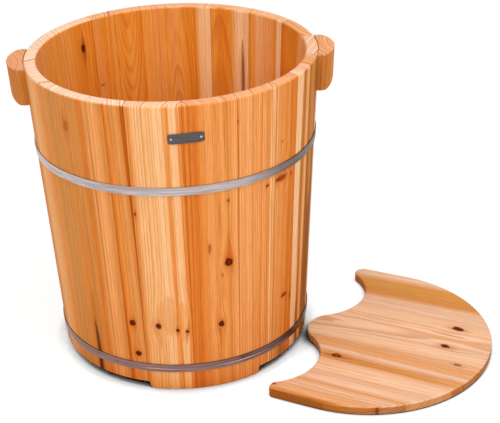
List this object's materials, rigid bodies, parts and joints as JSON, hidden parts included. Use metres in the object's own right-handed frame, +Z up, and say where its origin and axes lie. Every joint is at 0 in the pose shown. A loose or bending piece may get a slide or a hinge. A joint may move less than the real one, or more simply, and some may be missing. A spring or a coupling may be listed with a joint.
{
  "type": "wooden foot bath",
  "caption": "Tapered wooden tub of staves with steel hoops and two side grips for bathing the feet, with a loose lid cut out for the legs beside it.",
  "frame": {"origin": "on the ground, in the middle of the space that the tub and its lid take up", "axes": "+Z up from the ground to the rim; +X towards the side on which the lid lies; the plate on the tub's front faces -Y"},
  "size_m": [0.6098, 0.4326, 0.4],
  "materials": {
    "pale_wood": "satin, light varnish",
    "honey_wood": "satin, light varnish",
    "amber_wood": "satin, light varnish",
    "floor_wood": "satin, light varnish",
    "handle_wood": "satin, light varnish",
    "dowel_wood": "plain",
    "lid_pale_wood": "satin, light varnish",
    "lid_orange_wood": "satin, light varnish",
    "hoop_steel": "rolled strip",
    "rivet_steel": "domed"
  },
  "bodies": {
    "root": {"stave_01": "pale_wood", "stave_02": "honey_wood", "stave_03": "pale_wood", "stave_04": "amber_wood", "stave_05": "honey_wood", "stave_06": "amber_wood", "stave_07": "pale_wood", "stave_08": "honey_wood", "stave_09": "amber_wood", "stave_10": "honey_wood", "stave_11": "amber_wood", "stave_12": "pale_wood", "stave_13": "honey_wood", "stave_14": "honey_wood", "stave_15": "amber_wood", "stave_16": "pale_wood", "stave_17": "amber_wood", "stave_18": "honey_wood", "stave_19": "honey_wood", "stave_20": "pale_wood", "stave_21": "honey_wood", "upper_hoop": "hoop_steel", "lower_hoop": "hoop_steel", "hoop_rivets": "rivet_steel", "floor_board_1": "floor_wood", "floor_board_2": "floor_wood", "floor_board_3": "floor_wood", "floor_board_4": "floor_wood", "floor_board_5": "floor_wood", "left_handle": "handle_wood", "right_handle": "handle_wood", "handle_dowels": "dowel_wood", "seam_pins": "dowel_wood", "lid_board_1": "lid_orange_wood", "lid_board_2": "lid_pale_wood", "lid_board_3": "lid_pale_wood", "lid_board_4": "lid_orange_wood", "lid_board_5": "lid_pale_wood", "lid_board_6": "lid_pale_wood"}
  },
  "joints": []
}
